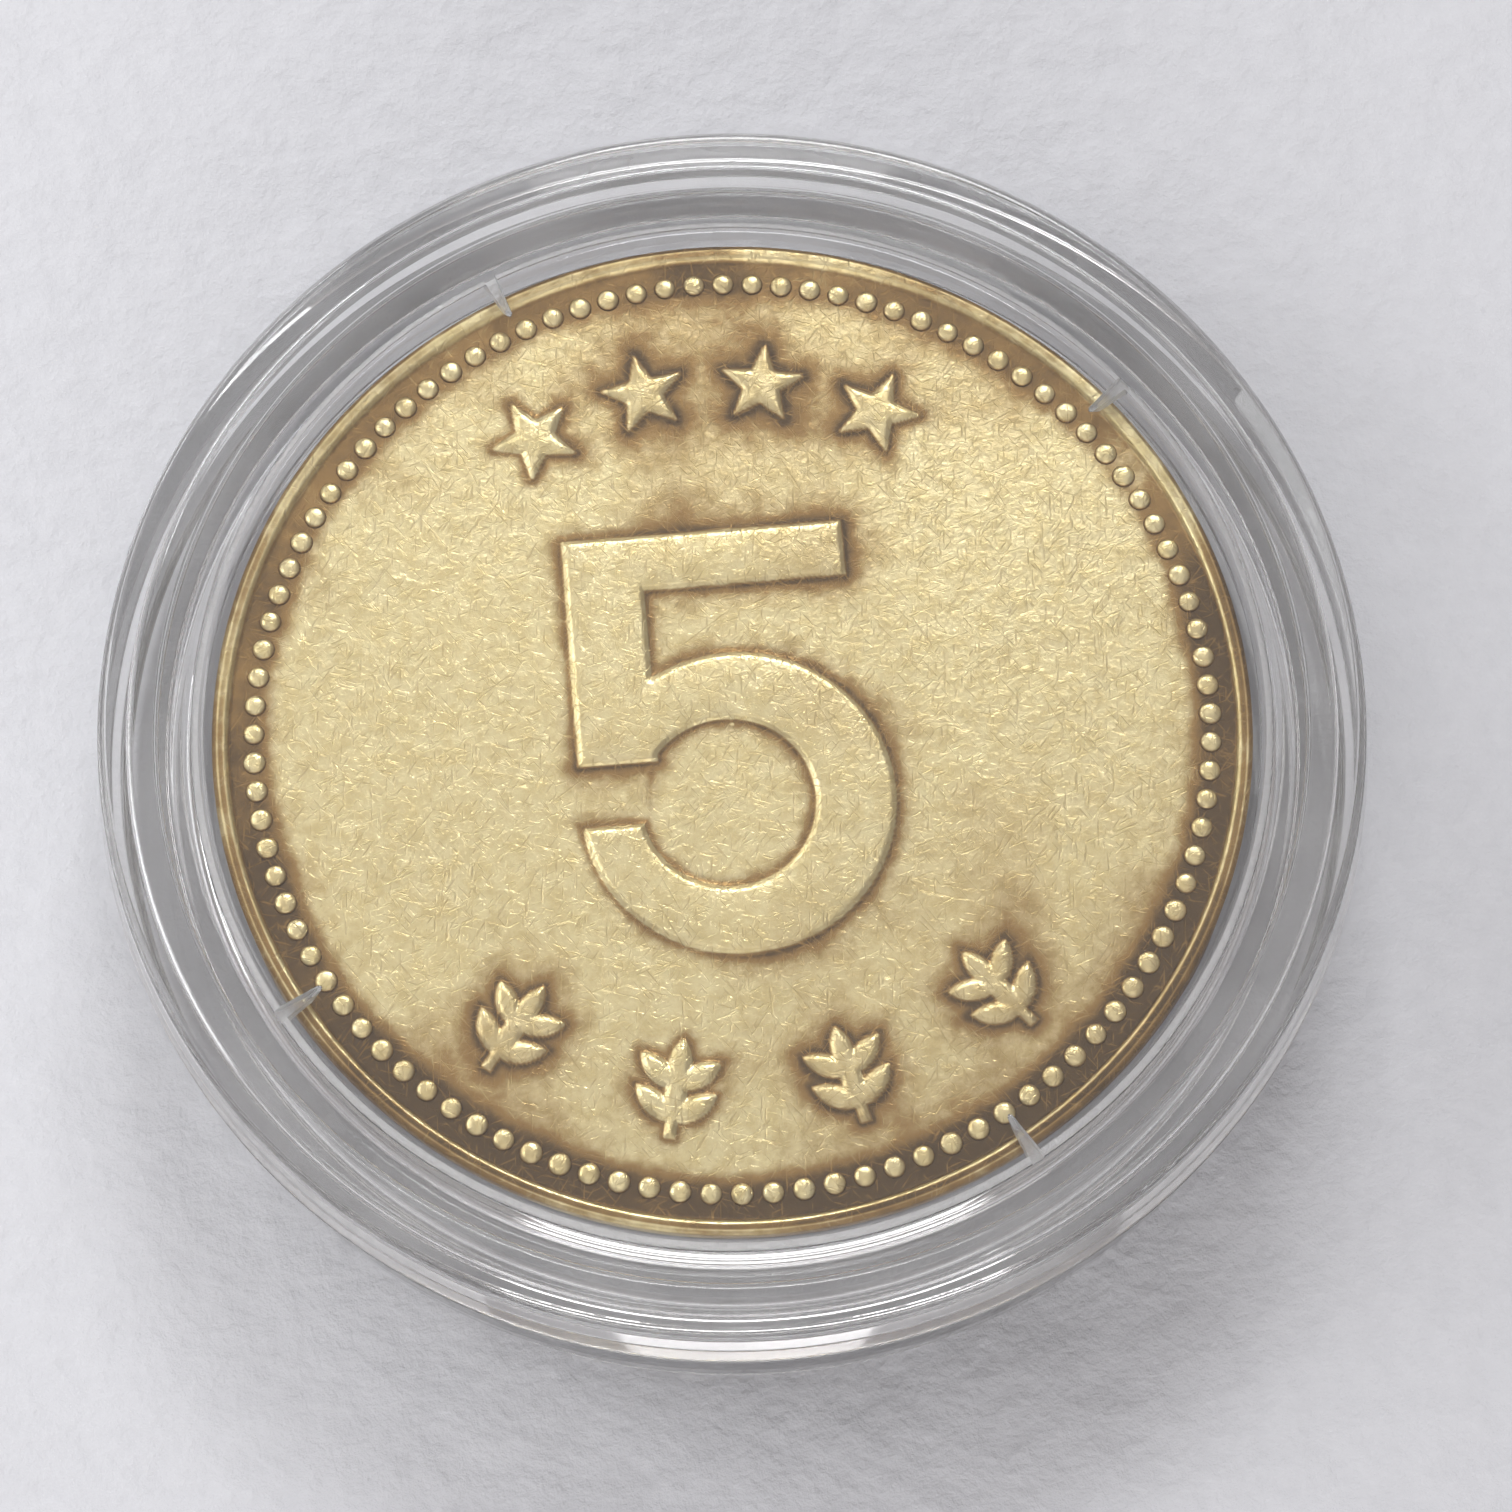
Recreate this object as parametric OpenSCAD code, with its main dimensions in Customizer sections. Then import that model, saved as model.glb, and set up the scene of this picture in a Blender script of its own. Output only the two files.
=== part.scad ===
// Coin capsule: a clear two-part round capsule, pushed together around one struck brass coin.
// Millimetres, +Z up. Origin: centre of the underside of the base's foot ring.
// +Y points to the top of the coin's design. Everything is sized outwards from the coin.

/* [Coin] */
// Coin diameter
coin_d = 20.4; // [14:0.1:40]
// Coin thickness over its raised rims
coin_t = 1.45; // [1:0.05:3.5]
// Width of the raised rim on each face
coin_rim_w = 0.34; // [0.2:0.02:1]
// Height of the rim above the field, each face
coin_rim_h = 0.12; // [0.05:0.01:0.2]
// Bevel on the outer corners of the rim
coin_edge_bevel = 0.08; // [0.02:0.01:0.15]

/* [Coin design] */
// Beads around the border
bead_count = 100; // [24:1:120]
// Diameter of the foot of one bead
bead_d = 0.46; // [0.2:0.02:0.8]
// Diameter of the flat top of one bead
bead_top_d = 0.3; // [0.1:0.02:0.5]
// Gap between the rim and the outside of the beads
bead_inset = 0.25; // [0.05:0.01:1.5]
// Height of the numeral, beads and ornaments above the field
relief_h = 0.1; // [0.04:0.01:0.18]
// Height of the numeral
numeral_h = 8.7; // [4:0.1:12]
// Width of the numeral
numeral_w = 6.1; // [3:0.1:9]
// Stroke width of the numeral's bar and of the bowl's lowest point
numeral_stroke = 1.12; // [0.6:0.02:2]
// Extra width of the upright strokes
numeral_swell = 0.4; // [0:0.05:0.8]
// Open gap between the stem and the tail
numeral_mouth = 1.3; // [0.4:0.05:2]
// Height of the centre of the numeral above the coin's centre
numeral_up = -0.3; // [-1:0.1:1]
// Radius on which the star centres lie
star_ring_r = 7.2; // [4:0.1:15]
// Number of stars on the upper arc
star_count = 4; // [1:1:7]
// Angle between neighbouring stars
star_step = 19; // [12:1:40]
// Outer radius of one star
star_r = 0.85; // [0.4:0.05:1.2]
// Inner radius of one star, as the distance to its notches
star_notch_r = 0.38; // [0.2:0.02:0.6]
// Radius on which the leaf sprays lie
spray_ring_r = 7.4; // [4:0.1:15]
// Number of leaf sprays on the lower arc
spray_count = 4; // [1:1:6]
// Angle between neighbouring sprays
spray_step = 26; // [20:1:50]
// Length of one leaf
leaf_l = 0.95; // [0.5:0.05:1.3]
// Width of one leaf
leaf_w = 0.4; // [0.2:0.02:0.6]
// Leaves in the wreath on the reverse face
wreath_count = 24; // [8:1:36]
// Radius of the wreath on the reverse face
wreath_r = 6.6; // [3:0.1:12]
// Tilt of the wreath's leaves
wreath_tilt = 30; // [0:5:60]
// Radius of the round boss on the reverse face
boss_r = 3.2; // [1:0.1:6]

/* [Fits] */
// Air around the coin inside the lid's ring, radial
coin_play = 0.37; // [0.1:0.01:1]
// Air between the lid's ring and the base's rim, radial
ring_gap = 0.05; // [0.02:0.01:0.3]
// Air between the base's rim and the lid's skirt, radial
skirt_gap = 0.05; // [0.02:0.01:0.3]
// Air under a piece that rests on another
rest_gap = 0.02; // [0.01:0.01:0.1]
// Open seam between the lid's skirt and the base's flange
seam_gap = 0.08; // [0.02:0.01:0.4]
// Air between the retention nibs and the coin's rim
nib_gap = 0.05; // [0.02:0.01:0.3]
// Air over the coin, up to the lid's window
head_gap = 0.45; // [0.2:0.05:2]

/* [Lid] */
// Thickness of the lid's window
lid_t = 0.8; // [0.5:0.05:2]
// Wall of the inner ring that surrounds the coin
ring_wall = 0.6; // [0.4:0.05:1.5]
// Rounding of the ring's lower inner edge, which leads the coin in
ring_lead_r = 0.34; // [0.05:0.01:0.36]
// Rounding in the corner where the ring meets the window
window_fillet_r = 0.28; // [0.05:0.01:0.36]
// Wall of the skirt at the seam
skirt_wall = 0.68; // [0.4:0.02:1.6]
// Depth of the skirt below the lid's top face
skirt_h = 1.5; // [1:0.05:3]
// Draft of the skirt: how much the top edge is set in from the seam
skirt_draft = 0.22; // [0:0.01:0.5]
// Rounding of the lid's top edge
lid_edge_r = 0.2; // [0.05:0.01:0.4]

/* [Retention nibs] */
// Directions of the four nibs, as angles from +X
nib_angles = [37, 113, 210, 298.5];
// Width of one nib
nib_w = 0.3; // [0.15:0.05:0.8]
// How far a nib reaches in from the ring
nib_reach = 1.1; // [0.6:0.05:2]
// Slope of a nib's tip, measured along its reach
nib_slope = 0.35; // [0.1:0.05:0.8]

/* [Base] */
// Thickness of the base's window
floor_t = 1.2; // [0.6:0.05:2.5]
// Wall of the rim that stands up into the lid
rim_wall = 0.55; // [0.4:0.05:1.5]
// Height of the foot ring under the window
foot_h = 1.3; // [0.4:0.05:3]
// Wall of the foot ring
foot_wall = 0.9; // [0.5:0.05:2]
// How far the foot ring is set in from the seam
foot_inset = 0.34; // [0.1:0.02:1]
// Draft of the flange: how much its lower edge is set in from the seam
flange_draft = 0.14; // [0:0.01:0.4]
// Step height of the flange's lower edge above the base's window underside
flange_drop = 0.3; // [0.1:0.05:0.8]
// Rounding of the foot's outer edge
foot_edge_r = 0.22; // [0.05:0.01:0.4]

/* [Quality] */
// Facets of full turns; any value above twelve gives true curves
$fn = 128; // [24:1:256]
// Facets of one bead; any value above twelve gives true curves
bead_facets = 16; // [13:1:32]
// Points in a rounded corner
corner_steps = 4; // [2:1:8]

/* [Hidden] */
coin_r = coin_d / 2;
field_r = coin_r - coin_rim_w;
field_t = coin_t - 2 * coin_rim_h;
bead_ring_r = field_r - bead_inset - bead_d / 2;

// Radii, from the coin outwards
ring_in_r = coin_r + coin_play;
ring_out_r = ring_in_r + ring_wall;
rim_in_r = ring_out_r + ring_gap;
rim_out_r = rim_in_r + rim_wall;
skirt_in_r = rim_out_r + skirt_gap;
seam_r = skirt_in_r + skirt_wall;
lid_top_r = seam_r - skirt_draft;
flange_low_r = seam_r - flange_draft;
foot_out_r = seam_r - foot_inset;
foot_in_r = foot_out_r - foot_wall;

// Heights, from the foot upwards
floor_z = foot_h + floor_t;
coin_z = floor_z + rest_gap;
coin_top_z = coin_z + coin_t;
window_z = coin_top_z + head_gap;
lid_top_z = window_z + lid_t;
seam_z = lid_top_z - skirt_h;
ring_low_z = floor_z + rest_gap;
rim_top_z = window_z - rest_gap;
flange_top_z = seam_z - seam_gap;
flange_low_z = foot_h + flange_drop;
nib_low_z = coin_top_z + nib_gap;

// Small bite that joins a raised or added feature to its body
bite = 0.05;
half_turn = 180;
quarter_turn = 90;
star_points = 5;
spray_angles = [0, 52, -52];
spray_stem_w = 0.16;
leaf_pair_drop = leaf_l * 2 / 3;
// Share of the numeral's mouth that lies below the bowl's centre
mouth_share = 0.25;

// Points of a rounded corner, centred on c, from angle a to angle b
function corner(c, r, a, b) = [
    for (i = [0 : corner_steps])
        let (t = a + (b - a) * i / corner_steps)
        [c[0] + r * cos(t), c[1] + r * sin(t)]
];

// Half outline of the base, turned about Z
module base_outline() {
    polygon(concat(
        [[0, foot_h], [foot_in_r, foot_h], [foot_in_r, 0]],
        corner([foot_out_r - foot_edge_r, foot_edge_r], foot_edge_r, -quarter_turn, 0),
        [
            [foot_out_r, flange_low_z],
            [flange_low_r, flange_low_z],
            [seam_r, flange_top_z],
            [rim_out_r, flange_top_z],
            [rim_out_r, rim_top_z],
            [rim_in_r, rim_top_z],
            [rim_in_r, floor_z],
            [0, floor_z]
        ]
    ));
}

// Half outline of the lid, turned about Z
module lid_outline() {
    polygon(concat(
        [[0, window_z]],
        corner([ring_in_r - window_fillet_r, window_z - window_fillet_r], window_fillet_r,
            quarter_turn, 0),
        corner([ring_in_r + ring_lead_r, ring_low_z + ring_lead_r], ring_lead_r,
            half_turn, half_turn + quarter_turn),
        [
            [ring_out_r, ring_low_z],
            [ring_out_r, window_z],
            [skirt_in_r, window_z],
            [skirt_in_r, seam_z],
            [seam_r, seam_z]
        ],
        corner([lid_top_r - lid_edge_r, lid_top_z - lid_edge_r], lid_edge_r, 0, quarter_turn),
        [[0, lid_top_z]]
    ));
}

// One nib: a thin fin on the inner ring that reaches in over the coin's rim
module nib() {
    tip_r = ring_in_r - nib_reach;
    translate([0, nib_w / 2, 0])
        rotate([quarter_turn, 0, 0])
            linear_extrude(height = nib_w)
                polygon([
                    [ring_in_r + bite, nib_low_z],
                    [tip_r + nib_slope, nib_low_z],
                    [tip_r, window_z + bite],
                    [ring_in_r + bite, window_z + bite]
                ]);
}

// Half outline of the coin's blank with its two rims, turned about Z
module blank_outline() {
    polygon([
        [0, coin_rim_h],
        [field_r, coin_rim_h],
        [field_r + coin_rim_h / 2, 0],
        [coin_r - coin_edge_bevel, 0],
        [coin_r, coin_edge_bevel],
        [coin_r, coin_t - coin_edge_bevel],
        [coin_r - coin_edge_bevel, coin_t],
        [field_r + coin_rim_h / 2, coin_t],
        [field_r, coin_t - coin_rim_h],
        [0, coin_t - coin_rim_h]
    ]);
}

// Flat block numeral: bar, stem and open bowl, centred on its own box
module numeral() {
    bowl_r = numeral_w / 2;
    bowl_y = bowl_r - numeral_h / 2;
    stem_w = numeral_stroke + numeral_swell;
    mouth_low = bowl_y - numeral_mouth * mouth_share;
    mouth_high = mouth_low + numeral_mouth;
    translate([-bowl_r, numeral_h / 2 - numeral_stroke])
        square([2 * bowl_r - numeral_stroke / 2, numeral_stroke]);
    translate([-bowl_r, mouth_high])
        square([stem_w, numeral_h / 2 - mouth_high]);
    difference() {
        translate([0, bowl_y]) circle(r = bowl_r);
        translate([-numeral_swell / 2, bowl_y])
            circle(r = bowl_r - numeral_stroke - numeral_swell / 2);
        translate([-2 * bowl_r, mouth_low])
            square([bowl_r + stem_w, numeral_mouth]);
    }
}

// Flat five-pointed star
module star() {
    polygon([
        for (i = [0 : 2 * star_points - 1])
            let (t = quarter_turn + i * half_turn / star_points, r = i % 2 == 0 ? star_r : star_notch_r)
            [r * cos(t), r * sin(t)]
    ]);
}

// Flat pointed leaf from the origin along +Y, where two round arcs cross
module leaf() {
    arc_r = (leaf_l * leaf_l + leaf_w * leaf_w) / (4 * leaf_w);
    intersection() {
        translate([arc_r - leaf_w / 2, leaf_l / 2]) circle(r = arc_r);
        translate([leaf_w / 2 - arc_r, leaf_l / 2]) circle(r = arc_r);
    }
}

// Flat spray: a stem with one leaf on top and one on each side
module spray() {
    translate([-spray_stem_w / 2, -leaf_l])
        square([spray_stem_w, leaf_l + leaf_w / 2]);
    for (t = spray_angles)
        rotate(t) leaf();
    for (t = spray_angles)
        translate([0, -leaf_pair_drop]) rotate(t) leaf();
}

// Spreads its children on an arc centred on the direction mid
module on_arc(count, step, r, mid) {
    for (i = [0 : count - 1])
        rotate(mid - quarter_turn + step * (i - (count - 1) / 2))
            translate([0, r]) children();
}

// Raised design of the face that shows
module obverse() {
    translate([0, 0, coin_t - coin_rim_h - bite]) {
        linear_extrude(height = relief_h + bite) {
            translate([0, numeral_up]) numeral();
            on_arc(star_count, star_step, star_ring_r, quarter_turn) star();
            on_arc(spray_count, spray_step, spray_ring_r, -quarter_turn) rotate(half_turn) spray();
        }
        for (i = [0 : bead_count - 1])
            rotate(i * 2 * half_turn / bead_count)
                translate([bead_ring_r, 0, 0])
                    cylinder(h = relief_h + bite, d1 = bead_d, d2 = bead_top_d, $fn = bead_facets);
    }
}

// Raised design of the face that lies on the base: a leaf wreath around a round boss
module reverse() {
    translate([0, 0, coin_rim_h - relief_h])
        linear_extrude(height = relief_h + bite) {
            circle(r = boss_r);
            for (i = [0 : wreath_count - 1])
                rotate(i * 2 * half_turn / wreath_count)
                    translate([wreath_r, 0]) rotate(-wreath_tilt) leaf();
        }
}

// Clear base: window, foot ring, flange and the rim that stands up into the lid
module capsule_base() {
    color([0.86, 0.88, 0.9, 0.35])
        rotate_extrude() base_outline();
}

// Clear lid: window, inner ring around the coin, skirt and four retention nibs
module capsule_lid() {
    color([0.9, 0.92, 0.94, 0.35])
        union() {
            rotate_extrude() lid_outline();
            for (t = nib_angles)
                rotate(t) nib();
        }
}

// Struck brass coin, lying face up in the capsule
module coin() {
    color([0.79, 0.68, 0.42])
        translate([0, 0, coin_z])
            union() {
                rotate_extrude() blank_outline();
                obverse();
                reverse();
            }
}

capsule_base();
capsule_lid();
coin();
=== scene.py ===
"""Round clear coin capsule around one worn brass coin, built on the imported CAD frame.

Outlines are in millimetres and are scaled once, when their mesh is made.
"""

import math

import bmesh
import bpy
import numpy as np
from mathutils import Matrix, Vector


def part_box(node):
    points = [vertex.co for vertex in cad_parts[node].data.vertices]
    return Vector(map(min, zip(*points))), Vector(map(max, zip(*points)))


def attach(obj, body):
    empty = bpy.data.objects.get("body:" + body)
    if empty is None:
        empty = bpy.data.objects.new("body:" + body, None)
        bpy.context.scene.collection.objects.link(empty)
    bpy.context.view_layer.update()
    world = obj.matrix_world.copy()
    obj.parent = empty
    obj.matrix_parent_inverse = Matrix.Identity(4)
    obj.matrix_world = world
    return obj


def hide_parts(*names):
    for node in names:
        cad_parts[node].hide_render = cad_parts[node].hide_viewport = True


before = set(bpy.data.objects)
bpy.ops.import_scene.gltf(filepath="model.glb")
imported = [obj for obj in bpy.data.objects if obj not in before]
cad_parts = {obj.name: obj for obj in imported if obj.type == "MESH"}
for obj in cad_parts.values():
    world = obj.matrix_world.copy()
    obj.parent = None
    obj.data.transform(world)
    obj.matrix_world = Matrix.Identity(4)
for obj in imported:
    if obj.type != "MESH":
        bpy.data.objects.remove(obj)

MM = 0.001
TURN = 2 * math.pi
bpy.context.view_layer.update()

# ---------------------------------------------------------------- sizes, from the CAD frame

COIN_LOW, COIN_HIGH = (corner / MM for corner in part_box("coin"))
BASE_LOW, BASE_HIGH = (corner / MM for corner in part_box("capsule_base"))
_, LID_HIGH = (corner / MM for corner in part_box("capsule_lid"))

COIN_R = (COIN_HIGH.x - COIN_LOW.x) / 2
COIN_T = COIN_HIGH.z - COIN_LOW.z
SEAM_R = (BASE_HIGH.x - BASE_LOW.x) / 2

# Fits and walls, as in the CAD source
COIN_PLAY, RING_WALL, RING_GAP = 0.37, 0.6, 0.05
RIM_WALL, SKIRT_GAP, REST_GAP, SEAM_GAP = 0.55, 0.05, 0.02, 0.08
LID_T, SKIRT_H, SKIRT_DRAFT = 0.8, 1.5, 0.22
FOOT_H, FOOT_WALL, FOOT_INSET = 1.3, 0.9, 0.34
FLANGE_DRAFT, FLANGE_DROP = 0.14, 0.3
FOOT_EDGE_R, LID_EDGE_R, RING_LEAD_R, WINDOW_FILLET_R = 0.22, 0.2, 0.34, 0.28
NIB_W, NIB_TIP_W, NIB_REACH, NIB_SLOPE, NIB_GAP = 0.3, 0.1, 1.1, 0.35, 0.05
NIB_ANGLES = (37, 113, 210, 298.5)

RING_IN_R = COIN_R + COIN_PLAY
RING_OUT_R = RING_IN_R + RING_WALL
RIM_IN_R = RING_OUT_R + RING_GAP
RIM_OUT_R = RIM_IN_R + RIM_WALL
SKIRT_IN_R = RIM_OUT_R + SKIRT_GAP
FOOT_OUT_R = SEAM_R - FOOT_INSET
FLOOR_Z = COIN_LOW.z - REST_GAP
LID_TOP_Z = LID_HIGH.z
WINDOW_Z = LID_TOP_Z - LID_T
SEAM_Z = LID_TOP_Z - SKIRT_H

# Small roundings that only the visual model has: crisp edges, and softer ones by name
CRISP_R, RIM_TOP_R, RING_LOW_R, SKIRT_ROOT_R = 0.04, 0.08, 0.07, 0.1
RECESS_R, FOOT_INNER_R, NIB_EDGE_R = 0.18, 0.12, 0.025

# Coin design, as in the CAD source
RIM_W, RIM_H, RELIEF_H = 0.34, 0.12, 0.1
FIELD_R = COIN_R - RIM_W
BEAD_COUNT, BEAD_R, BEAD_INSET = 100, 0.23, 0.25
BEAD_RING_R = FIELD_R - BEAD_INSET - BEAD_R
NUMERAL_H, NUMERAL_W, NUMERAL_UP = 8.7, 6.1, -0.3
NUMERAL_STROKE, NUMERAL_SWELL, NUMERAL_MOUTH = 1.12, 0.4, 1.3
STAR_RING_R, STAR_COUNT, STAR_STEP, STAR_R, STAR_NOTCH_R = 7.2, 4, 19, 0.85, 0.38
SPRAY_RING_R, SPRAY_COUNT, SPRAY_STEP = 7.4, 4, 26
SPRAY_ANGLES, SPRAY_STEM_W = (0, 52, -52), 0.16
LEAF_L, LEAF_W = 0.95, 0.4
WREATH_COUNT, WREATH_R, WREATH_TILT, BOSS_R = 24, 6.6, 30, 3.2

# ---------------------------------------------------------------- mesh helpers

SHARP_DEGREES = 28


def add_object(name, mesh):
    obj = bpy.data.objects.new(name, mesh)
    bpy.context.scene.collection.objects.link(obj)
    return obj


def finish_mesh(mesh, sharp_degrees=SHARP_DEGREES):
    """Outward normals, smooth faces, and true edges where two faces meet sharply."""
    work = bmesh.new()
    work.from_mesh(mesh)
    bmesh.ops.recalc_face_normals(work, faces=work.faces)
    work.to_mesh(mesh)
    work.free()
    mesh.shade_smooth()
    mesh.set_sharp_from_angle(angle=math.radians(sharp_degrees))


def rounded(corners, steps=4, guard=0.02):
    """Outline through corners (r, z, radius), each rounded by an arc.

    Guard points beside an arc keep the long flats next to it flat when shaded.
    """
    outline = []
    last = len(corners) - 1
    for i, (r, z, radius) in enumerate(corners):
        point = Vector((r, z))
        if radius == 0:
            outline.append(point)
            continue
        back = (Vector(corners[max(i - 1, 0)][:2]) - point).normalized()
        ahead = (Vector(corners[min(i + 1, last)][:2]) - point).normalized()
        half = back.angle(ahead) / 2
        run = radius / math.tan(half)
        centre = point + (back + ahead).normalized() * radius / math.sin(half)
        first = point + back * run - centre
        final = point + ahead * run - centre
        sweep = first.angle_signed(final)
        outline.append(centre + first + back * guard)
        for k in range(steps + 1):
            turned = first.copy()
            turned.rotate(Matrix.Rotation(-sweep * k / steps, 2))
            outline.append(centre + turned)
        outline.append(centre + final + ahead * guard)
    return outline


def lathe(name, outline, segments=360):
    """Closed mesh turned about Z from an outline (r, z) that runs from axis to axis."""
    verts, rows, faces = [], [], []
    for r, z in outline:
        if r == 0:
            rows.append([len(verts)] * segments)
            verts.append((0, 0, z * MM))
            continue
        rows.append(range(len(verts), len(verts) + segments))
        for k in range(segments):
            turn = TURN * k / segments
            verts.append((r * math.cos(turn) * MM, r * math.sin(turn) * MM, z * MM))
    for low, high in zip(rows, rows[1:]):
        for k in range(segments):
            n = (k + 1) % segments
            corners = dict.fromkeys((low[k], low[n], high[n], high[k]))
            faces.append(tuple(corners))
    mesh = bpy.data.meshes.new(name)
    mesh.from_pydata(verts, [], faces)
    finish_mesh(mesh)
    return add_object(name, mesh)


# ---------------------------------------------------------------- capsule shells


def base_shell():
    """Floor, foot ring, flange and the rim that stands up into the lid."""
    outline = rounded([
        (0, FOOT_H, 0),
        (FOOT_OUT_R - FOOT_WALL, FOOT_H, RECESS_R),
        (FOOT_OUT_R - FOOT_WALL, 0, FOOT_INNER_R),
        (FOOT_OUT_R, 0, FOOT_EDGE_R),
        (FOOT_OUT_R, FOOT_H + FLANGE_DROP, CRISP_R),
        (SEAM_R - FLANGE_DRAFT, FOOT_H + FLANGE_DROP, CRISP_R),
        (SEAM_R, SEAM_Z - SEAM_GAP, CRISP_R),
        (RIM_OUT_R, SEAM_Z - SEAM_GAP, CRISP_R),
        (RIM_OUT_R, WINDOW_Z - REST_GAP, RIM_TOP_R),
        (RIM_IN_R, WINDOW_Z - REST_GAP, RIM_TOP_R),
        (RIM_IN_R, FLOOR_Z, CRISP_R),
        (0, FLOOR_Z, 0),
    ])
    return lathe("base_shell", outline)


def nib(turn, bite=0.1):
    """One fin that narrows as it reaches in from the lid's ring over the coin's rim.

    It starts a bite inside the ring and the window, so that it fuses with both.
    """
    low, high = COIN_HIGH.z + NIB_GAP, WINDOW_Z + bite
    tip, root = RING_IN_R - NIB_REACH, RING_IN_R + bite
    outline = (
        (root, low, NIB_W),
        (tip + NIB_SLOPE, low, NIB_TIP_W),
        (tip, high, NIB_TIP_W),
        (root, high, NIB_W),
    )
    work = bmesh.new()
    sides = [
        [work.verts.new((r * MM, side * wide / 2 * MM, z * MM)) for r, z, wide in outline]
        for side in (-1, 1)
    ]
    work.faces.new(sides[0])
    work.faces.new(sides[1])
    for k in range(len(outline)):
        n = (k + 1) % len(outline)
        work.faces.new((sides[0][k], sides[0][n], sides[1][n], sides[1][k]))
    bmesh.ops.bevel(work, geom=work.edges[:], offset=NIB_EDGE_R * MM, segments=2, affect="EDGES")
    bmesh.ops.rotate(work, matrix=Matrix.Rotation(math.radians(turn), 3, "Z"), verts=work.verts)
    mesh = bpy.data.meshes.new("nib")
    work.to_mesh(mesh)
    work.free()
    finish_mesh(mesh)
    return add_object("nib", mesh)


def join_solid(obj, tool):
    """Fuses tool into obj as one closed solid and removes tool."""
    fuse = obj.modifiers.new("fuse", "BOOLEAN")
    fuse.operation = "UNION"
    fuse.solver = "EXACT"
    fuse.object = tool
    with bpy.context.temp_override(object=obj, active_object=obj):
        bpy.ops.object.modifier_apply(modifier=fuse.name)
    bpy.data.objects.remove(tool)


def lid_shell():
    """Window, ring around the coin, skirt and the four nibs, as one solid."""
    outline = rounded([
        (0, WINDOW_Z, 0),
        (RING_IN_R, WINDOW_Z, WINDOW_FILLET_R),
        (RING_IN_R, FLOOR_Z + REST_GAP, RING_LEAD_R),
        (RING_OUT_R, FLOOR_Z + REST_GAP, RING_LOW_R),
        (RING_OUT_R, WINDOW_Z, CRISP_R),
        (SKIRT_IN_R, WINDOW_Z, SKIRT_ROOT_R),
        (SKIRT_IN_R, SEAM_Z, CRISP_R),
        (SEAM_R, SEAM_Z, CRISP_R),
        (SEAM_R - SKIRT_DRAFT, LID_TOP_Z, LID_EDGE_R),
        (0, LID_TOP_Z, 0),
    ])
    shell = lathe("lid_shell", outline)
    for turn in NIB_ANGLES:
        join_solid(shell, nib(turn))
    shell.data.set_sharp_from_angle(angle=math.radians(SHARP_DEGREES))
    return shell


# ---------------------------------------------------------------- coin


def ramp(value, low, high):
    """Smooth step from 0 at low to 1 at high."""
    t = np.clip((value - low) / (high - low), 0, 1)
    return t * t * (3 - 2 * t)


def box_distance(x, y, low, high):
    """Signed distance to an upright box given by two corners."""
    dx = np.abs(x - (low[0] + high[0]) / 2) - (high[0] - low[0]) / 2
    dy = np.abs(y - (low[1] + high[1]) / 2) - (high[1] - low[1]) / 2
    return np.hypot(np.maximum(dx, 0), np.maximum(dy, 0)) + np.minimum(np.maximum(dx, dy), 0)


def disc_distance(x, y, centre_x, centre_y, r):
    return np.hypot(x - centre_x, y - centre_y) - r


def turned(x, y, degrees):
    """Coordinates as seen from a frame turned by degrees."""
    c, s = math.cos(math.radians(degrees)), math.sin(math.radians(degrees))
    return c * x + s * y, c * y - s * x


def numeral_distance(x, y):
    """Block numeral: bar, stem and open bowl."""
    y = y - NUMERAL_UP
    bowl_r, top = NUMERAL_W / 2, NUMERAL_H / 2
    bowl_y = bowl_r - top
    mouth = (bowl_y - NUMERAL_MOUTH / 4, bowl_y + NUMERAL_MOUTH * 3 / 4)
    stem_w = NUMERAL_STROKE + NUMERAL_SWELL
    bar_low, bar_high = (-bowl_r, top - NUMERAL_STROKE), (bowl_r - NUMERAL_STROKE / 2, top)
    bar = box_distance(x, y, bar_low, bar_high)
    stem = box_distance(x, y, (-bowl_r, mouth[1]), (stem_w - bowl_r, top))
    hole_r = bowl_r - NUMERAL_STROKE - NUMERAL_SWELL / 2
    hole = disc_distance(x, y, -NUMERAL_SWELL / 2, bowl_y, hole_r)
    bowl = np.maximum(disc_distance(x, y, 0, bowl_y, bowl_r), -hole)
    gap = box_distance(x, y, (-2 * bowl_r, mouth[0]), (stem_w - bowl_r, mouth[1]))
    bowl = np.maximum(bowl, -gap)
    return np.minimum(np.minimum(bar, stem), bowl)


def star_distance(x, y):
    """Five-pointed star, folded onto the one edge from a point to its notch."""
    sector = math.pi / 5
    turn = np.abs((np.arctan2(x, y) + sector) % (2 * sector) - sector)
    reach = np.hypot(x, y)
    px, py = reach * np.sin(turn), reach * np.cos(turn) - STAR_R
    edge_x, edge_y = STAR_NOTCH_R * math.sin(sector), STAR_NOTCH_R * math.cos(sector) - STAR_R
    along = np.clip((px * edge_x + py * edge_y) / (edge_x**2 + edge_y**2), 0, 1)
    gap = np.hypot(px - along * edge_x, py - along * edge_y)
    return np.copysign(gap, edge_x * py - edge_y * px)


def leaf_distance(x, y):
    """Pointed leaf from the origin along +Y."""
    arc_r = (LEAF_L**2 + LEAF_W**2) / (4 * LEAF_W)
    shift = arc_r - LEAF_W / 2
    return np.maximum(
        disc_distance(x, y, shift, LEAF_L / 2, arc_r),
        disc_distance(x, y, -shift, LEAF_L / 2, arc_r),
    )


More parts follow.
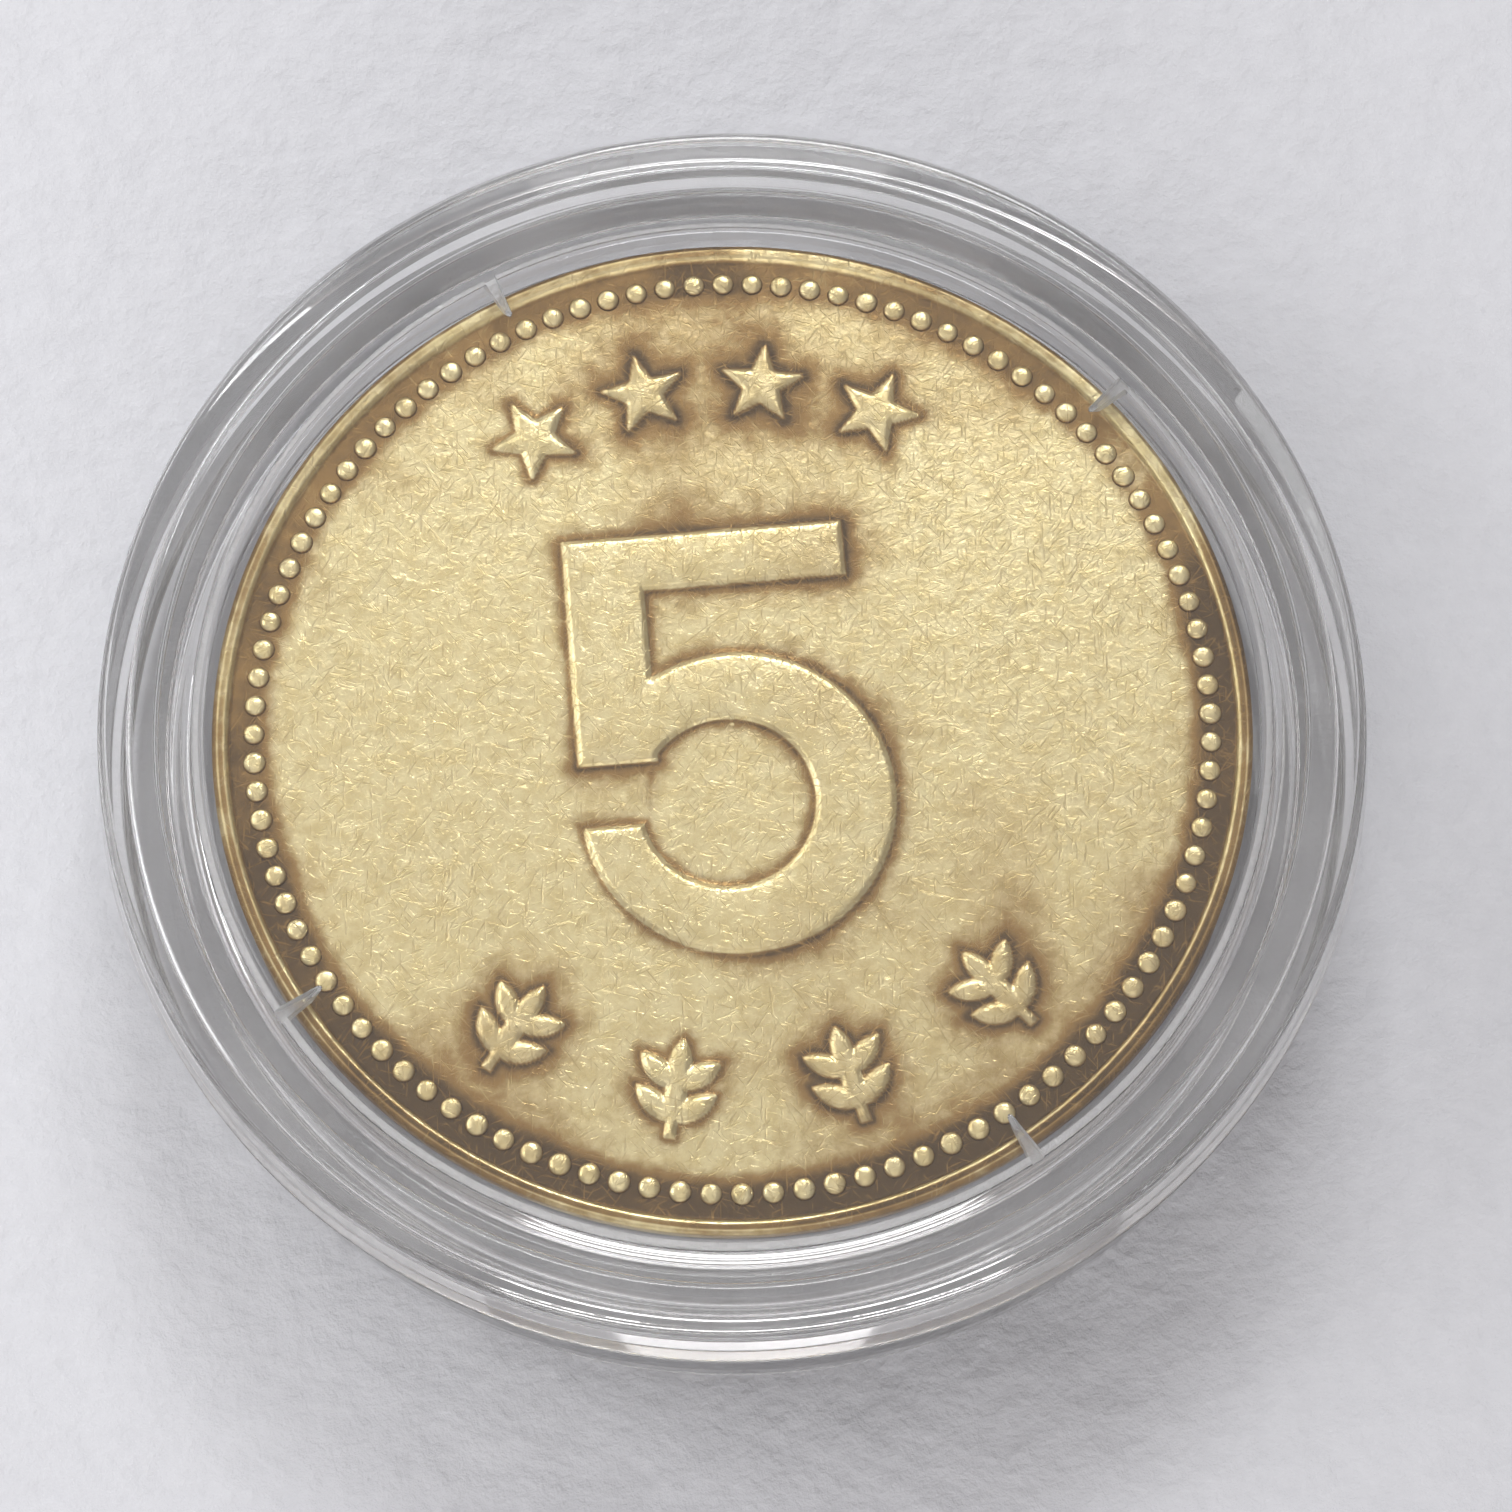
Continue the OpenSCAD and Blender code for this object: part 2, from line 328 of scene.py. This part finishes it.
def spray_distance(x, y):
    best = box_distance(x, y, (-SPRAY_STEM_W / 2, -LEAF_L), (SPRAY_STEM_W / 2, LEAF_W / 2))
    for turn in SPRAY_ANGLES:
        for drop in (0, LEAF_L * 2 / 3):
            best = np.minimum(best, leaf_distance(*turned(x, y + drop, turn)))
    return best


def on_arc(x, y, count, step, r, middle, shape, spin=0):
    """Nearest of count copies of shape, spread on an arc around the direction middle."""
    best = np.full_like(x, np.inf)
    for i in range(count):
        u, v = turned(x, y, middle - 90 + step * (i - (count - 1) / 2))
        best = np.minimum(best, shape(*turned(u, v - r, spin)))
    return best


def obverse_distance(x, y):
    best = numeral_distance(x, y)
    best = np.minimum(best, on_arc(x, y, STAR_COUNT, STAR_STEP, STAR_RING_R, 90, star_distance))
    return np.minimum(
        best, on_arc(x, y, SPRAY_COUNT, SPRAY_STEP, SPRAY_RING_R, -90, spray_distance, 180)
    )


def reverse_distance(x, y):
    """Leaf wreath around a round boss."""
    step = TURN / WREATH_COUNT
    turn = (np.arctan2(y, x) + step / 2) % step - step / 2
    reach = np.hypot(x, y)
    u, v = turned(reach * np.cos(turn) - WREATH_R, reach * np.sin(turn), -WREATH_TILT)
    return np.minimum(leaf_distance(u, v), reach - BOSS_R)


def face_rows(spacing, closer=0.65, edge_room=0.1):
    """Radii of the rows on one face, closer together outside the beads."""
    inner = np.arange(0, BEAD_RING_R + BEAD_R, spacing)
    outer = np.arange(inner[-1] + spacing, COIN_R - edge_room, spacing * closer)
    return np.concatenate([inner, outer])


def face_height(r, design, soft=0.085, worn=0.02, worn_reach=0.25):
    """Height of one struck face above its field, from the distance to its design.

    The relief's walls are soft, and it is worn down a little towards its outline.
    """
    rim = RIM_H * ramp(r, FIELD_R - 0.02, FIELD_R + 0.09)
    wear = worn * np.exp(np.minimum(design, 0) / worn_reach)
    relief = (RELIEF_H - wear) * (1 - ramp(design, -soft, soft))
    return np.maximum(rim, relief)


def face_patina_and_shade(x, y, design):
    """How dark a point is painted, from 0 to 1: patina, and painted shade on the near side.

    A tight and a wide halo lie around the relief, a band fills the border up to the rim,
    and a thin line runs along the rim's top. Border and rim are painted darker towards the
    bottom, the near side: painted shade laid over their patina.
    """
    r = np.hypot(x, y)
    # Painted shade: 0 on the far side, 1 on the near side, where border and rim are painted darker
    near_side_shade = 0.5 - 0.5 * y / r
    away = np.maximum(design, 0)
    tight, wide = 0.62 * np.exp(-away / 0.13), 0.4 * np.exp(-away / 0.75)
    halo = (tight + wide) * ramp(design, -0.02, 0.07)
    border = 0.35 * ramp(r, BEAD_RING_R - 2.4, BEAD_RING_R)
    border = border + 0.65 * ramp(r, BEAD_RING_R - 0.6, BEAD_RING_R)
    border = border * (1 - ramp(r, FIELD_R - 0.01, FIELD_R + 0.06))
    # Painted shade: the border is painted darker towards the near side
    border = border * (0.5 + 0.48 * near_side_shade)
    rim = ramp(r, FIELD_R + 0.08, FIELD_R + 0.14) * (1 - ramp(r, FIELD_R + 0.2, FIELD_R + 0.26))
    # Painted shade: the rim's line is painted darker towards the near side
    rim = rim * (0.25 + 0.5 * near_side_shade)
    return np.clip(np.maximum(np.maximum(halo, border), rim), 0, 1)


def coin_blank(segments=900, bevel=0.08, edge_patina=0.5, centre_patina=0.1):
    """One closed mesh: top face, edge and underside, with its patina and painted shade as a point
    attribute.
    """
    top, low = face_rows(spacing=0.055), face_rows(spacing=0.11)
    bulge = 0.3 * bevel
    edge = (
        (COIN_R - bevel, COIN_T),
        (COIN_R - bulge, COIN_T - bulge),
        (COIN_R, COIN_T - bevel),
        (COIN_R, COIN_T / 2),
        (COIN_R, bevel),
        (COIN_R - bulge, bulge),
        (COIN_R - bevel, 0),
    )
    turns = np.arange(segments) * TURN / segments
    points, patina_and_shade = [], []

    def add_row(r, z, dark):
        heights = np.broadcast_to(z, turns.shape)
        points.append(np.stack([r * np.cos(turns), r * np.sin(turns), heights], 1))
        patina_and_shade.append(np.broadcast_to(dark, turns.shape))

    for r in top[1:]:
        x, y = r * np.cos(turns), r * np.sin(turns)
        design = obverse_distance(x, y)
        add_row(r, COIN_T - RIM_H + face_height(r, design), face_patina_and_shade(x, y, design))
    for r, z in edge:
        add_row(r, z, edge_patina)
    for r in low[:0:-1]:
        x, y = r * np.cos(turns), r * np.sin(turns)
        design = reverse_distance(x, y)
        add_row(r, RIM_H - face_height(r, design), face_patina_and_shade(x, y, design))

    rows = len(points)
    grid = np.arange(rows * segments).reshape(rows, segments)
    near, far = grid[:-1], grid[1:]
    quads = np.stack([near, far, np.roll(far, -1, 1), np.roll(near, -1, 1)], -1).reshape(-1, 4)
    verts = np.concatenate([*points, [[0, 0, COIN_T - RIM_H]], [[0, 0, RIM_H - RELIEF_H]]])
    verts[:, 2] += COIN_LOW.z
    centre, first, last = rows * segments, grid[0], grid[-1]
    caps = [(centre, first[k], first[(k + 1) % segments]) for k in range(segments)]
    caps += [(centre + 1, last[(k + 1) % segments], last[k]) for k in range(segments)]
    mesh = bpy.data.meshes.new("coin_blank")
    mesh.from_pydata((verts * MM).tolist(), [], quads.tolist() + [tuple(map(int, c)) for c in caps])
    finish_mesh(mesh, sharp_degrees=60)
    # Patina with painted shade towards the near side, from 0 to 1
    held = mesh.attributes.new("patina_and_shade", "FLOAT", "POINT")
    centres = [centre_patina, centre_patina]
    held.data.foreach_set("value", np.concatenate([*patina_and_shade, centres]).astype(np.float32))
    return add_object("coin_blank", mesh)


def coin_beads(rings=5, sides=16, sunk=0.03, squareness=0.65):
    """The border's beads: flattened domes of slightly uneven wear, sunk into the field."""
    rng = np.random.default_rng(seed=7)
    field = COIN_LOW.z + COIN_T - RIM_H
    verts, faces = [], []
    for i in range(BEAD_COUNT):
        turn = TURN * i / BEAD_COUNT
        x, y = BEAD_RING_R * math.cos(turn), BEAD_RING_R * math.sin(turn)
        size = BEAD_R * rng.uniform(0.95, 1.02)
        tall = RELIEF_H * rng.uniform(0.92, 1.1)
        start = len(verts)
        for k in range(rings):
            climb = k / rings * math.pi / 2
            reach, z = size * math.cos(climb) ** squareness, tall * math.sin(climb)
            for s in range(sides):
                a = TURN * s / sides
                verts.append((x + reach * math.cos(a), y + reach * math.sin(a), field + z))
        verts.append((x, y, field + tall))
        for s in range(sides):
            a = TURN * s / sides
            verts.append((x + size * math.cos(a), y + size * math.sin(a), field - sunk))
        base = start + rings * sides + 1
        for s in range(sides):
            n = (s + 1) % sides
            for k in range(rings - 1):
                a, b = start + k * sides, start + (k + 1) * sides
                faces.append((a + s, a + n, b + n, b + s))
            last = start + (rings - 1) * sides
            faces.append((last + s, last + n, start + rings * sides))
            faces.append((base + s, base + n, start + n, start + s))
        faces.append(tuple(base + s for s in reversed(range(sides))))
    mesh = bpy.data.meshes.new("coin_beads")
    mesh.from_pydata([(x * MM, y * MM, z * MM) for x, y, z in verts], [], faces)
    finish_mesh(mesh, sharp_degrees=50)
    return add_object("coin_beads", mesh)


# ---------------------------------------------------------------- materials

CLEAR = (1, 1, 1, 1)
RUBBED = (0.92, 0.80, 0.46, 1)
DULLED = (0.82, 0.68, 0.34, 1)
CLOUDED = (0.66, 0.49, 0.22, 1)
SCRATCHED = (0.5, 0.34, 0.13, 1)
# Patina browns, also used for the painted shade on the coin's near side and on the beads' sides
WARM_PATINA_AND_SHADE = (0.40, 0.24, 0.08, 1)
DEEP_PATINA_AND_SHADE = (0.14, 0.085, 0.032, 1)
PAPER_DARK = (0.65, 0.655, 0.685, 1)
PAPER_LIGHT = (0.68, 0.685, 0.715, 1)
PAPER_SPECK = (0.36, 0.36, 0.40, 1)


class Tree:
    """Short way to add nodes to a material: a socket given as a value is linked."""

    def __init__(self, name):
        self.material = bpy.data.materials.new(name)
        self.material.use_nodes = True
        self.tree = self.material.node_tree
        self.tree.nodes.clear()

    def add(self, kind, inputs=None, **settings):
        made = self.tree.nodes.new(kind)
        for key, value in settings.items():
            setattr(made, key, value)
        for key, value in (inputs or {}).items():
            if isinstance(value, bpy.types.NodeSocket):
                self.tree.links.new(value, made.inputs[key])
            else:
                made.inputs[key].default_value = value
        return made

    def math(self, operation, *values):
        return self.add("ShaderNodeMath", dict(enumerate(values)), operation=operation).outputs[0]

    def mix(self, factor, a, b):
        """Colour a carried to colour b; a Mix node keeps its colour sockets at 6, 7 and 2."""
        made = self.add("ShaderNodeMix", {0: factor, 6: a, 7: b}, data_type="RGBA")
        return made.outputs[2]

    def where(self):
        """Coordinates of the shaded point on its own object, in metres."""
        return self.add("ShaderNodeTexCoord").outputs["Object"]

    def split(self, vector):
        return self.add("ShaderNodeSeparateXYZ", {0: vector}).outputs

    def place(self, scale, turn, shift):
        """The same coordinates, moved, turned about Z and divided by scale."""
        return self.add("ShaderNodeMapping", {
            "Vector": self.where(),
            "Location": (shift, shift, 0),
            "Rotation": (0, 0, turn),
            "Scale": scale,
        }, vector_type="TEXTURE").outputs[0]

    def noise(self, scale, detail=3.0, roughness=0.5, vector=None):
        """Soft noise from 0 to 1, with scale cells in a metre unless a vector is given."""
        inputs = {"Scale": scale, "Detail": detail, "Roughness": roughness}
        inputs["Vector"] = vector or self.where()
        return self.add("ShaderNodeTexNoise", inputs).outputs[0]

    def step(self, value, low, high, to_low=0.0, to_high=1.0):
        """Value carried smoothly from low..high to the range to_low..to_high."""
        return self.add("ShaderNodeMapRange", {
            "Value": value, "From Min": low, "From Max": high, "To Min": to_low, "To Max": to_high,
        }, interpolation_type="SMOOTHSTEP").outputs[0]

    def hairlines(self, length, fineness, turns, low, high):
        """Fine straight scratches as a mask from 0 to 1, in the directions turns (radians).

        Length and fineness are the noise cell's two sides in millimetres.
        """
        total = None
        for i, turn in enumerate(turns):
            across = self.place((length * MM, fineness * MM, length * MM), turn, 0.01 * i)
            line = self.step(self.noise(1.0, 2.0, 0.4, across), low, high)
            total = line if total is None else self.math("MAXIMUM", total, line)
        return total

    def bump(self, height, distance, normal=None):
        """Normal for a height of 0 to 1, distance millimetres tall, laid over another normal."""
        inputs = {"Height": height, "Distance": distance * MM, "Strength": 1.0}
        if normal is not None:
            inputs["Normal"] = normal
        return self.add("ShaderNodeBump", inputs).outputs[0]

    def output(self, inputs):
        shader = self.add("ShaderNodeBsdfPrincipled", inputs)
        self.add("ShaderNodeOutputMaterial", {"Surface": shader.outputs[0]})
        return self.material


def clear_plastic(name, scuff, polish=0.01, skin=0.03):
    """Clear hard plastic: scratched top face, slightly cloudy walls, rough whitish nibs.

    Faces are told apart by height and radius, kept a skin (mm) clear of their neighbours.
    """
    t = Tree(name)
    x, y, z = t.split(t.where())
    r = t.math("SQRT", t.math("ADD", t.math("MULTIPLY", x, x), t.math("MULTIPLY", y, y)))
    on_top = t.math("GREATER_THAN", z, (LID_TOP_Z - skin) * MM)
    lines = t.hairlines(length=2.5, fineness=0.035, turns=(0.5, 2.2), low=0.74, high=0.8)
    lines = t.math("MULTIPLY", on_top, lines)
    half_gap = (WINDOW_Z - COIN_HIGH.z) / 2
    over_coin = t.math("COMPARE", z, (COIN_HIGH.z + half_gap) * MM, (half_gap - skin) * MM)
    nibs = t.math("MULTIPLY", over_coin, t.math("LESS_THAN", r, (RING_IN_R - 0.02) * MM))
    rough = t.math("MULTIPLY_ADD", t.math("MAXIMUM", lines, nibs), scuff, polish)
    walls = t.step(r, (RING_IN_R - 0.3) * MM, RING_IN_R * MM)
    haze = t.math("MULTIPLY", walls, t.step(t.noise(350.0, 3.0), 0.3, 0.75, 0.03, 0.09))
    haze = t.math("MAXIMUM", haze, t.math("MULTIPLY", nibs, 0.65))
    crumbs = t.bump(t.math("MULTIPLY", nibs, t.noise(9000.0, 2.0)), 0.04)
    return t.output({
        "Base Color": CLEAR,
        "Roughness": rough,
        "IOR": 1.49,
        "Transmission Weight": t.math("SUBTRACT", 1.0, haze),
        "Normal": crumbs,
    })


def aged_brass(name, dark_from_mesh):
    """Worn brass: pale gold on what is rubbed, brown patina in what isn't, fine scratches.

    The dark share comes from the mesh's own attribute, which holds patina and painted shade,
    or for beads from the height on them: each bead is painted dark from its foot up, patina
    in the crease at its foot and painted shade on its sides.
    """
    t = Tree(name)
    cloud = t.noise(170.0, 5.0, 0.6)
    mottle = t.noise(2600.0, 4.0, 0.65)
    grain = t.noise(9000.0, 3.0, 0.6)
    fine_turns, long_turns = (0.35, 0.9, 1.5, 2.2, 2.8), (0.6, 2.0)
    fine = t.hairlines(length=0.45, fineness=0.045, turns=fine_turns, low=0.63, high=0.73)
    long = t.hairlines(length=2.2, fineness=0.06, turns=long_turns, low=0.72, high=0.77)
    lines = t.math("MAXIMUM", long, fine)
    if dark_from_mesh:
        # The attribute holds patina with painted shade on the near side
        held = t.add("ShaderNodeAttribute", attribute_name="patina_and_shade").outputs["Fac"]
        uneven = t.math("MULTIPLY_ADD", cloud, 1.5, t.math("MULTIPLY_ADD", mottle, 0.35, -0.94))
        dark = t.step(t.math("ADD", held, uneven), 0.02, 0.98)
    else:
        height = t.split(t.where())[2]
        field_z = COIN_HIGH.z - RIM_H
        # Painted shade on each bead's sides, with the crease at its foot: dark at the field, fading
        # out towards the top
        foot = t.step(height, field_z * MM, (field_z + 0.09) * MM, 0.95, 0.0)
        dark = t.math("MAXIMUM", foot, t.step(mottle, 0.6, 0.85, 0.0, 0.25))
    dark = t.math("MULTIPLY", dark, t.math("MULTIPLY_ADD", fine, -0.3, 1.0))
    pale = t.mix(t.step(mottle, 0.35, 0.65), RUBBED, DULLED)
    pale = t.mix(t.step(cloud, 0.47, 0.62, 0.0, 0.35), pale, CLOUDED)
    pale = t.mix(t.math("MULTIPLY", lines, 0.3), pale, SCRATCHED)
    # Patina and painted shade alike: the dark share turns warm brown, then deep brown
    colour = t.mix(t.step(dark, 0.0, 0.55), pale, WARM_PATINA_AND_SHADE)
    colour = t.mix(t.step(dark, 0.5, 1.0), colour, DEEP_PATINA_AND_SHADE)
    rough = t.math("MULTIPLY_ADD", dark, 0.2, 0.36)
    rough = t.math("ADD", rough, t.math("MULTIPLY_ADD", grain, 0.12, -0.06))
    metal = t.math("MULTIPLY_ADD", dark, -0.45, 1.0)
    normal = t.bump(mottle, 0.012)
    normal = t.bump(grain, 0.01, normal)
    normal = t.bump(lines, -0.006, normal)
    return t.output({"Base Color": colour, "Metallic": metal, "Roughness": rough, "Normal": normal})


def paper():
    """White paper with a soft grain and a few dark specks."""
    t = Tree("paper")
    fibre = t.noise(1500.0, 6.0, 0.65)
    relief = t.noise(420.0, 3.0, 0.5)
    specks = t.step(t.noise(700.0, 1.0, 0.2), 0.81, 0.84)
    tone = t.mix(t.step(fibre, 0.3, 0.7), PAPER_DARK, PAPER_LIGHT)
    tone = t.mix(specks, tone, PAPER_SPECK)
    normal = t.bump(relief, 0.2)
    normal = t.bump(fibre, 0.1, normal)
    return t.output({
        "Base Color": tone,
        "Roughness": 0.9,
        "Specular IOR Level": 0.2,
        "Normal": normal,
    })


# ---------------------------------------------------------------- object


def dress(obj, material, body, nodes):
    """Gives a piece its material, hides the CAD nodes it stands for and ties it to its body."""
    obj.data.materials.clear()
    obj.data.materials.append(material)
    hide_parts(*nodes)
    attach(obj, body)


def build_object():
    base_look = clear_plastic("clear_base", 0.1)
    lid_look = clear_plastic("clear_lid", 0.2)
    dress(base_shell(), base_look, "base", ["capsule_base"])
    dress(lid_shell(), lid_look, "lid", ["capsule_lid"])
    dress(coin_blank(), aged_brass("brass_struck", True), "coin", ["coin"])
    dress(coin_beads(), aged_brass("brass_beads", False), "coin", ["coin"])


# ---------------------------------------------------------------- room, lights and camera

# name, azimuth, elevation, distance, width, height, watts, colour
SOFTBOXES = (
    ("window_top", 80, 45, 0.5, 0.2, 0.16, 1.0, (0.98, 0.99, 1.0)),
    ("window_left", 166, 42, 0.1, 0.05, 0.05, 0.028, (0.98, 0.99, 1.0)),
    ("window_far", 124, 28, 0.4, 0.14, 0.06, 0.2, (0.96, 0.985, 1.0)),
    ("window_near", -92, 20, 0.35, 0.4, 0.24, 0.74, (1.0, 0.99, 0.99)),
    ("ceiling", 100, 68, 0.6, 0.6, 0.56, 0.4, (0.99, 0.985, 1.0)),
    ("overhead", -94, 72, 0.5, 0.34, 0.14, 0.22, (1.0, 0.98, 0.98)),
)


def floor(size=1.2, air=0.03):
    """Sheet of paper, a trace of air below the capsule's foot."""
    mesh = bpy.data.meshes.new("floor")
    h, z = size / 2, -air * MM
    mesh.from_pydata([(-h, -h, z), (h, -h, z), (h, h, z), (-h, h, z)], [], [(0, 1, 2, 3)])
    obj = add_object("floor", mesh)
    mesh.materials.append(paper())


def direction(azimuth, elevation):
    a, e = math.radians(azimuth), math.radians(elevation)
    return Vector((math.cos(e) * math.cos(a), math.cos(e) * math.sin(a), math.sin(e)))


def softbox(name, azimuth, elevation, distance, width, height, watts, colour):
    """Rectangular light that faces the capsule; angles in degrees, lengths in metres."""
    data = bpy.data.lights.new(name, "AREA")
    data.shape = "RECTANGLE"
    data.size, data.size_y = width, height
    data.energy = watts
    data.color = colour
    obj = bpy.data.objects.new(name, data)
    bpy.context.scene.collection.objects.link(obj)
    away = direction(azimuth, elevation)
    obj.location = away * distance
    obj.rotation_euler = away.to_track_quat("Z", "Y").to_euler()


def room_light(colour, strength):
    world = bpy.data.worlds.new("studio")
    world.use_nodes = True
    back = world.node_tree.nodes["Background"]
    back.inputs["Color"].default_value = (*colour, 1)
    back.inputs["Strength"].default_value = strength
    bpy.context.scene.world = world


def camera(azimuth, elevation, distance, aim, roll, lens):
    """Camera that faces aim; angles in degrees, distance, aim and lens in millimetres."""
    data = bpy.data.cameras.new("camera")
    data.lens = lens
    data.sensor_width = 36
    data.clip_start, data.clip_end = 0.005, 20
    obj = bpy.data.objects.new("camera", data)
    bpy.context.scene.collection.objects.link(obj)
    away = direction(azimuth, elevation)
    spin = Matrix.Rotation(math.radians(roll), 4, "Z")
    obj.matrix_world = (
        Matrix.Translation(Vector(aim) * MM + away * distance * MM)
        @ away.to_track_quat("Z", "Y").to_matrix().to_4x4()
        @ spin
    )
    bpy.context.scene.camera = obj


def stage_scene():
    floor()
    room_light(colour=(1.0, 0.94, 0.935), strength=0.3)
    for light in SOFTBOXES:
        softbox(*light)
    camera(
        azimuth=-94.257,
        elevation=72.186,
        distance=83.25,
        aim=(0.408, -0.718, 4.2),
        roll=-0.64,
        lens=101.42,
    )
    scene = bpy.context.scene
    scene.view_settings.view_transform = "Standard"
    scene.cycles.use_denoising = True
    scene.cycles.max_bounces = 24
    scene.cycles.transmission_bounces = 22
    scene.cycles.glossy_bounces = 6


build_object()
stage_scene()
